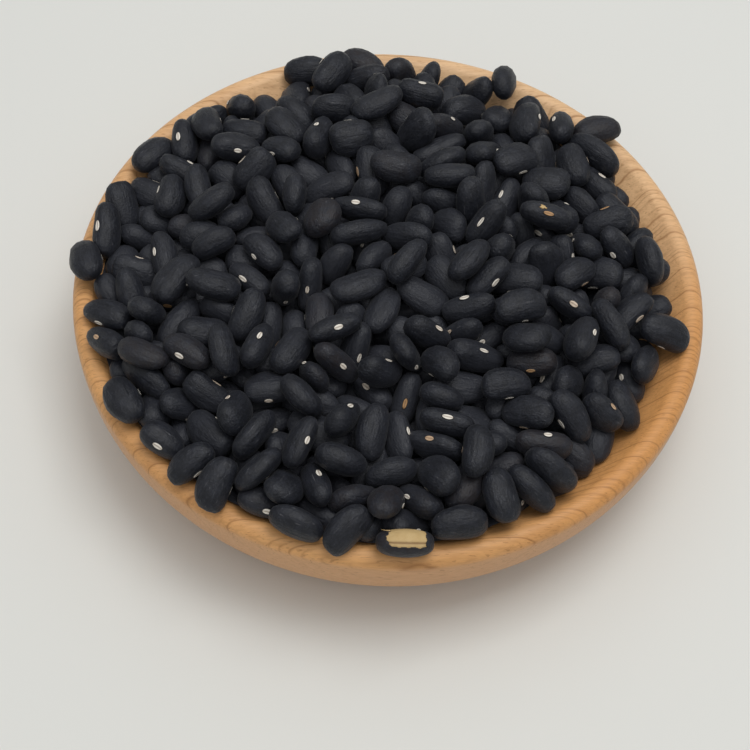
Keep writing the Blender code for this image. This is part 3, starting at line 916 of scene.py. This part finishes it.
class DISH_OT_turn_bowl(bpy.types.Operator):
    """Turn the beech dish: its profile carried round the axis"""

    bl_idname = "dish.turn_bowl"
    bl_label = "Turn the bowl"

    def execute(self, context):
        bowl = context.scene.dish_bowl
        radius, height = bowl_profile(bowl)
        angle = -np.arange(BOWL_SIDES) * 2 * math.pi / BOWL_SIDES
        rings = np.stack([
            radius[:, None] * np.cos(angle), radius[:, None] * np.sin(angle),
            np.repeat(height[:, None], BOWL_SIDES, axis=1),
        ], axis=-1)
        points = closed_rings((0, 0, 0), rings, (0, 0, bowl.floor_height))
        faces = capsule_faces(1, len(radius), BOWL_SIDES)
        widest = len(radius) - LIP_STEPS - INNER_STEPS
        # Mask of the outer side, for its painted shade and floor reflection
        outside = np.clip((widest + OUTER_FADE - 1 - np.arange(len(radius))) / OUTER_FADE, 0, 1)
        values = {"outer_side": np.concatenate([[1], np.repeat(outside, BOWL_SIDES), [0]])}
        piece = new_piece("beech_bowl", points, faces, shared(beech, bowl), values)
        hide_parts("bowl")
        return {"FINISHED"}


class DISH_OT_fill_core(bpy.types.Operator):
    """Fill the dish with a dark core that the beans lie on"""

    bl_idname = "dish.fill_core"
    bl_label = "Fill the core"

    def execute(self, context):
        bowl = context.scene.dish_bowl
        angle = -np.arange(CORE_SIDES) * 2 * math.pi / CORE_SIDES
        share = np.sqrt(np.linspace(0, 1, CORE_STEPS + 1))[1:, None]
        reach = share * (outline(angle) - CORE_EDGE_INSET)
        x, y = reach * np.cos(angle), reach * np.sin(angle)
        wood = bowl_top(bowl, reach)
        floor = np.stack([x, y, wood + GAP], axis=-1)
        top = np.stack([x, y, np.maximum(mound(x, y) - CORE_DEPTH, wood + 2 * GAP)], axis=-1)
        points = closed_rings((0, 0, bowl.floor_height + GAP), np.concatenate([floor, top[::-1]]),
                              (0, 0, float(mound(0, 0)) - CORE_DEPTH))
        beans = context.scene.dish_beans
        values = {
            "bean_tone": np.zeros(len(points)),
            "bean_place": points * MILLIMETRES,
            # Painted fill light on the core, deep in the shade between the beans
            "painted_fill_light": painted_fill_at(points),
        }
        piece = new_piece("heap_core", points, capsule_faces(1, 2 * CORE_STEPS, CORE_SIDES),
                          shared(seed_coat, beans), values)
        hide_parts("bean_heap")
        return {"FINISHED"}


def bean_piece(name, mask, grid, settings):
    """One joined mesh of the beans in the mask, on a grid of rings and sides."""
    centres, turns, sizes = (values[mask] for values in heap())
    traits = chosen(bean_traits(len(mask), settings.seed), mask)
    traits["ridges"] = ridge_heights(traits)
    rings, sides = grid
    t = np.linspace(0, math.pi, rings + 2)
    around = np.arange(sides) * 2 * math.pi / sides
    along, around = np.meshgrid(t[1:-1], around, indexing="ij")
    count = len(centres)
    body = bean_surface(traits, sizes, np.broadcast_to(along, (count, rings, sides)),
                        np.broadcast_to(around, (count, rings, sides)))
    ends = bean_surface(traits, sizes, np.broadcast_to(t[[0, -1]], (count, 2)), np.zeros((count, 2)))
    local = np.concatenate([ends[:, :1], body.reshape(count, -1, 3), ends[:, 1:]], axis=1)
    points = placed(local, centres, turns)
    each = local.shape[1]
    values = {
        "bean_tone": np.repeat(traits["tone"], each),
        "bean_place": own_places(local),
        # Painted fill light, deep in the shade between the beans
        "painted_fill_light": painted_fill_at(points),
    }
    return new_piece(name, points, capsule_faces(count, rings, sides), shared(seed_coat, settings),
                     values)


class DISH_OT_pour_beans(bpy.types.Operator):
    """Pour the whole beans: the smooth ones as one piece and the ridged ones as another"""

    bl_idname = "dish.pour_beans"
    bl_label = "Pour the beans"

    def execute(self, context):
        settings = context.scene.dish_beans
        count = len(heap()[0])
        ridged = bean_traits(count, settings.seed)["ridged"]
        whole = np.arange(count) > 0
        piece = bean_piece("smooth_beans", whole & ~ridged, PLAIN_GRID, settings)
        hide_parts("bean_heap")
        bean_piece("ridged_beans", whole & ridged, RIDGED_GRID, settings)
        return {"FINISHED"}


def spot_points(traits, sizes, shift, turn, half_length, half_width, ragged=0.0):
    """Low domes on the beans' skins, in the beans' own frames: a middle, rings of points, and a back.

    Each is an ellipse about a place shifted along the bean and turned round it. Its rings rise to
    a soft edge and then sink under the skin, and a ragged one has waves in its edge.
    """
    count = len(sizes)
    angle = np.arange(EYE_GRID[1]) * 2 * math.pi / EYE_GRID[1]
    share = SPOT_RINGS[:, None] * (1 + ragged * np.sin(3 * angle + 1) + ragged * np.sin(5 * angle))
    x = shift + share * np.cos(angle) * half_length[:, None, None]
    along = np.arccos(x / sizes[:, 0, None, None])
    around = math.pi + turn + share * np.sin(angle) * half_width[:, None, None] / sizes[:, 2, None, None]
    body = bean_surface(traits, sizes, along, around)
    outward = np.stack([0 * around, np.cos(around), np.sin(around)], axis=-1)
    body = body + SPOT_LIFTS[:, None, None] * outward
    along = np.arccos(np.full((count, 1), shift) / sizes[:, :1])
    middle = bean_surface(traits, sizes, along, np.full((count, 1), math.pi + turn))
    inward = -np.array([0, math.cos(math.pi + turn), math.sin(math.pi + turn)])
    return np.concatenate([
        middle - SPOT_CROWN * inward, body.reshape(count, -1, 3), middle + SPOT_DEPTH * inward,
    ], axis=1)


def spot_piece(name, local, centres, turns, tones, material):
    """A mesh of spots, with how far each point is from its spot's middle and from its long axis."""
    count, each = local.shape[:2]
    angle = np.arange(EYE_GRID[1]) * 2 * math.pi / EYE_GRID[1]
    ring = np.concatenate([[0], np.repeat(SPOT_RINGS, EYE_GRID[1]), [SPOT_RINGS[-1]]])
    slit = np.concatenate([[0], (SPOT_RINGS[:, None] * np.abs(np.sin(angle))).ravel(), [0]])
    values = {
        "bean_tone": np.repeat(tones, each),
        "bean_place": own_places(local),
        "eye_ring": np.tile(ring, count),
        "eye_slit": np.tile(slit, count),
        "flesh_seam": np.tile(np.clip(ring - 0.8, 0, 0.3) / 0.3, count),
    }
    return new_piece(name, placed(local, centres, turns), capsule_faces(count, *EYE_GRID), material,
                     values)


class DISH_OT_set_eyes(bpy.types.Operator):
    """Set the cream eye into the hollow side of each bean"""

    bl_idname = "dish.set_eyes"
    bl_label = "Set the eyes"

    def execute(self, context):
        settings = context.scene.dish_beans
        centres, turns, sizes = (values[1:] for values in heap())
        traits = {name: values[1:] for name, values in bean_traits(len(heap()[0]), settings.seed).items()}
        traits["ridges"] = ridge_heights(traits)
        rng = np.random.default_rng(settings.seed + 2)
        count = len(centres)
        local = spot_points(traits, sizes, 0.0, 0.0, EYE_LENGTH * rng.uniform(0.8, 1.25, count),
                            EYE_WIDTH * rng.uniform(0.8, 1.2, count))
        tones = rng.random(count)
        tones[0] = 1.0
        spot_piece("bean_eyes", local, centres, turns, tones, shared(eye_cream, settings))
        return {"FINISHED"}


class DISH_OT_chip_bean(bpy.types.Operator):
    """Chip the coat of one bean beside its eye, so that its flesh shows"""

    bl_idname = "dish.chip_bean"
    bl_label = "Chip a bean"

    def execute(self, context):
        settings = context.scene.dish_beans
        centres, turns, sizes = (values[1:2] for values in heap())
        traits = {name: values[1:2] for name, values in bean_traits(len(heap()[0]), settings.seed).items()}
        traits["ridges"] = ridge_heights(traits)
        local = spot_points(traits, sizes, CHIP_SHIFT, CHIP_TURN, np.array([CHIP_LENGTH]),
                            np.array([CHIP_WIDTH]), ragged=CHIP_RAGGED)
        spot_piece("coat_chip", local, centres, turns, np.ones(1), shared(bean_flesh, settings))
        return {"FINISHED"}


def curl_points(traits, sizes):
    """A sliver of coat that curls off the split bean's upper edge: a flat tapering tube along an arc.

    Its middle line starts on the coat at the break's left end, runs on along the bean, and lifts off
    with the square of the distance.
    """
    rings, sides = CURL_GRID
    t = np.linspace(0, 1, rings + 2)
    angle = np.arange(sides) * 2 * math.pi / sides
    along = np.arccos(np.clip(CURL_START - CURL_LENGTH * t, -0.97, 0.97))
    line = bean_surface(traits, sizes, along[None], np.full((1, len(t)), CURL_AT))[0]
    away = np.array([0, math.cos(CURL_AT), math.sin(CURL_AT)])
    side = np.array([0, -math.sin(CURL_AT), math.cos(CURL_AT)])
    line = line + (CURL_LIFT * t**2)[:, None] * away
    thick = CURL_WIDTH * (1.05 - t[1:-1])[:, None, None]
    round_it = np.cos(angle)[:, None] * side + 0.35 * np.sin(angle)[:, None] * away
    body = line[1:-1, None] + thick * round_it
    return closed_rings(line[0], body, line[-1])[None]


class DISH_OT_split_bean(bpy.types.Operator):
    """Lay the split bean at the front: a broken coat over its pale flesh"""

    bl_idname = "dish.split_bean"
    bl_label = "Lay the split bean"

    def execute(self, context):
        settings = context.scene.dish_beans
        centres, turns, sizes = (values[:1] for values in heap())
        traits = chosen(bean_traits(1, settings.seed), np.array([True]))
        traits["dent"] = np.zeros(1)
        rings, sides = SPLIT_GRID
        t = np.linspace(0, math.pi, rings + 2)
        along, around = np.meshgrid(t[1:-1], np.arange(sides) * 2 * math.pi / sides, indexing="ij")
        body = bean_surface(traits, sizes, along[None], around[None])
        ends = bean_surface(traits, sizes, t[None, [0, -1]], np.zeros((1, 2)))
        local = np.concatenate([ends[:, :1], body.reshape(1, -1, 3), ends[:, 1:]], axis=1)
        faces = capsule_faces(1, rings, sides)
        share = np.cos(along)
        off = (around + math.pi) % (2 * math.pi) - math.pi
        left = BREAK_LEFT + 0.08 * np.sin(4 * off + 1) + 0.025 * np.sin(17 * off)
        right = BREAK_RIGHT + 0.02 * np.sin(9 * off)
        low = BREAK_LOW + 0.05 * np.sin(19 * share) + 0.13 * np.exp(-(((share - 0.52) / 0.10) ** 2))
        gone = (off > BREAK_TOP) & (off < low) & (share > left) & (share < right)
        lost = np.concatenate([[False], gone.ravel(), [False]])
        coat_faces = [face for face in faces if not all(lost[index] for index in face)]
        tone = np.full(local.shape[1], SPLIT_TONE)
        coat = new_piece("split_coat", placed(local, centres, turns), coat_faces,
                         shared(seed_coat, settings),
                         {"bean_tone": tone, "bean_place": own_places(local)})
        wall = coat.modifiers.new("coat thickness", "SOLIDIFY")
        wall.thickness = COAT_THICKNESS
        wall.offset = -1
        seam_off = np.abs(off - SEAM_AT)
        groove = np.exp(-((seam_off / SEAM_WIDTH) ** 2))
        shrink = FLESH_GIRTH - SEAM_DEPTH * groove
        inside = body.copy()
        inside[..., 1:] *= shrink[None, ..., None]
        inside[..., 0] *= FLESH_LENGTH
        ends = ends * FLESH_LENGTH
        inner = np.concatenate([ends[:, :1], inside.reshape(1, -1, 3), ends[:, 1:]], axis=1)
        seam = np.concatenate([[0], groove.ravel(), [0]])
        new_piece("split_flesh", placed(inner, centres, turns), faces, shared(bean_flesh, settings),
                  {"bean_place": own_places(inner), "flesh_seam": seam})
        curl = curl_points(traits, sizes)
        new_piece("coat_curl", placed(curl, centres, turns), capsule_faces(1, *CURL_GRID),
                  shared(bean_flesh, settings),
                  {"bean_place": own_places(curl), "flesh_seam": np.full(curl.shape[1], CURL_SEAM)})
        return {"FINISHED"}


def soft_floor(stage):
    """Plain pale table top with the faintest unevenness."""
    material, graph, shader = new_material("pale table top")
    place = graph.node("TexCoord").outputs["Object"]
    clouds = speckle(graph, place, 3.0, 0.2)[0]
    shade = graph.blend(graph.maths("MULTIPLY", clouds, 0.12), colour(stage.floor_colour),
                        colour(np.multiply(stage.floor_colour, 0.90)))
    material.node_tree.links.new(shade, shader.inputs["Base Color"])
    shader.inputs["Roughness"].default_value = 0.8
    shader.inputs["Specular IOR Level"].default_value = 0.2
    return material


def add_lamp(name, place, size, power):
    """A square area lamp that faces the dish."""
    lamp = bpy.data.lights.new(name, "AREA")
    lamp.size = size
    lamp.energy = power
    lamp.color = LAMP_COLOUR
    holder = bpy.data.objects.new(name, lamp)
    bpy.context.scene.collection.objects.link(holder)
    holder.location = place
    towards = Vector((0, 0, LAMPS_AIM)) - Vector(place)
    holder.rotation_euler = towards.to_track_quat("-Z", "Y").to_euler()


def aim_camera(stage):
    """The camera at the photograph's viewing angle. It turns a little off the dish to frame it."""
    back = Vector((0, -math.cos(stage.elevation), math.sin(stage.elevation)))
    right = Vector((1, 0, 0))
    up = back.cross(right)
    level = Matrix((right, up, back)).transposed()
    pitch_down = math.atan(FRAME_DOWN / FRAME_LENS)
    turn_left = math.atan(FRAME_LEFT / FRAME_LENS)
    turn = level @ Matrix.Rotation(stage.roll, 3, "Z")
    turn = turn @ Matrix.Rotation(turn_left, 3, "Y") @ Matrix.Rotation(-pitch_down, 3, "X")
    camera = bpy.data.objects.new("camera", bpy.data.cameras.new("camera"))
    camera.data.lens = stage.lens
    camera.data.clip_start = 0.01
    place = Vector((0, 0, CAMERA_AIM)) + back * stage.distance
    camera.matrix_world = Matrix.Translation(place) @ turn.to_4x4()
    bpy.context.scene.collection.objects.link(camera)
    bpy.context.scene.camera = camera


class DISH_OT_set_stage(bpy.types.Operator):
    """Lay the pale floor, hang the lamps and aim the camera"""

    bl_idname = "dish.set_stage"
    bl_label = "Set the stage"

    def execute(self, context):
        stage = context.scene.dish_stage
        mesh = bpy.data.meshes.new("table_top")
        corners = ((-1, -1), (1, -1), (1, 1), (-1, 1))
        points = [(TABLE_REACH * x, TABLE_REACH * y, 0) for x, y in corners]
        mesh.from_pydata(points, [], [(0, 1, 2, 3)])
        mesh.materials.append(soft_floor(stage))
        floor = bpy.data.objects.new("table_top", mesh)
        context.scene.collection.objects.link(floor)
        world = bpy.data.worlds.new("soft sky")
        world.use_nodes = True
        graph = Graph(world.node_tree)
        direction = graph.node("TexCoord").outputs["Generated"]
        axes = graph.node("SeparateXYZ", {0: direction}).outputs
        climb = graph.maths("MAXIMUM", axes[2], 0.0)
        brightness = graph.maths("MULTIPLY_ADD", graph.maths("POWER", climb, 2.0), stage.zenith, stage.sky)
        behind = graph.maths("MULTIPLY_ADD", axes[1], stage.window, 1.0)
        brightness = graph.maths("MULTIPLY", brightness, behind)
        seen = graph.node("LightPath").outputs["Is Camera Ray"]
        paler = graph.maths("SUBTRACT", stage.backdrop, brightness)
        brightness = graph.maths("MULTIPLY_ADD", seen, paler, brightness)
        background = world.node_tree.nodes["Background"]
        background.inputs["Color"].default_value = colour(SKY_COLOUR)
        world.node_tree.links.new(brightness, background.inputs["Strength"])
        context.scene.world = world
        add_lamp("large soft lamp", LARGE_LAMP_AT, LARGE_LAMP_SIZE, stage.lamp_power)
        add_lamp("front fill", FILL_LAMP_AT, FILL_LAMP_SIZE, stage.lamp_power * FILL_SHARE)
        aim_camera(stage)
        context.scene.view_settings.view_transform = "Standard"
        return {"FINISHED"}


OPERATORS = (
    DISH_OT_turn_bowl,
    DISH_OT_fill_core,
    DISH_OT_pour_beans,
    DISH_OT_set_eyes,
    DISH_OT_chip_bean,
    DISH_OT_split_bean,
    DISH_OT_set_stage,
)


class DISH_PT_beans(bpy.types.Panel):
    """Panel with one button for each operator"""

    bl_label = "Bowl of beans"
    bl_idname = "DISH_PT_beans"
    bl_space_type = "VIEW_3D"
    bl_region_type = "UI"
    bl_category = "Beans"

    def draw(self, context):
        for operator in OPERATORS:
            self.layout.operator(operator.bl_idname)
        for settings in (context.scene.dish_bowl, context.scene.dish_beans, context.scene.dish_stage):
            box = self.layout.box()
            for name in settings.__annotations__:
                box.prop(settings, name)


CLASSES = (BowlSettings, BeanSettings, StageSettings, *OPERATORS, DISH_PT_beans)


def register():
    """Registers the classes and puts the settings on the scene."""
    for item in CLASSES:
        bpy.utils.register_class(item)
    bpy.types.Scene.dish_bowl = PointerProperty(type=BowlSettings)
    bpy.types.Scene.dish_beans = PointerProperty(type=BeanSettings)
    bpy.types.Scene.dish_stage = PointerProperty(type=StageSettings)


def unregister():
    """Takes the settings and the classes away again."""
    del bpy.types.Scene.dish_bowl
    del bpy.types.Scene.dish_beans
    del bpy.types.Scene.dish_stage
    for item in reversed(CLASSES):
        bpy.utils.unregister_class(item)


def main():
    """Makes every piece in order."""
    register()
    bpy.ops.dish.turn_bowl()
    bpy.ops.dish.fill_core()
    bpy.ops.dish.pour_beans()
    bpy.ops.dish.set_eyes()
    bpy.ops.dish.chip_bean()
    bpy.ops.dish.split_bean()
    bpy.ops.dish.set_stage()
    bpy.context.view_layer.update()


if __name__ == "__main__":
    main()
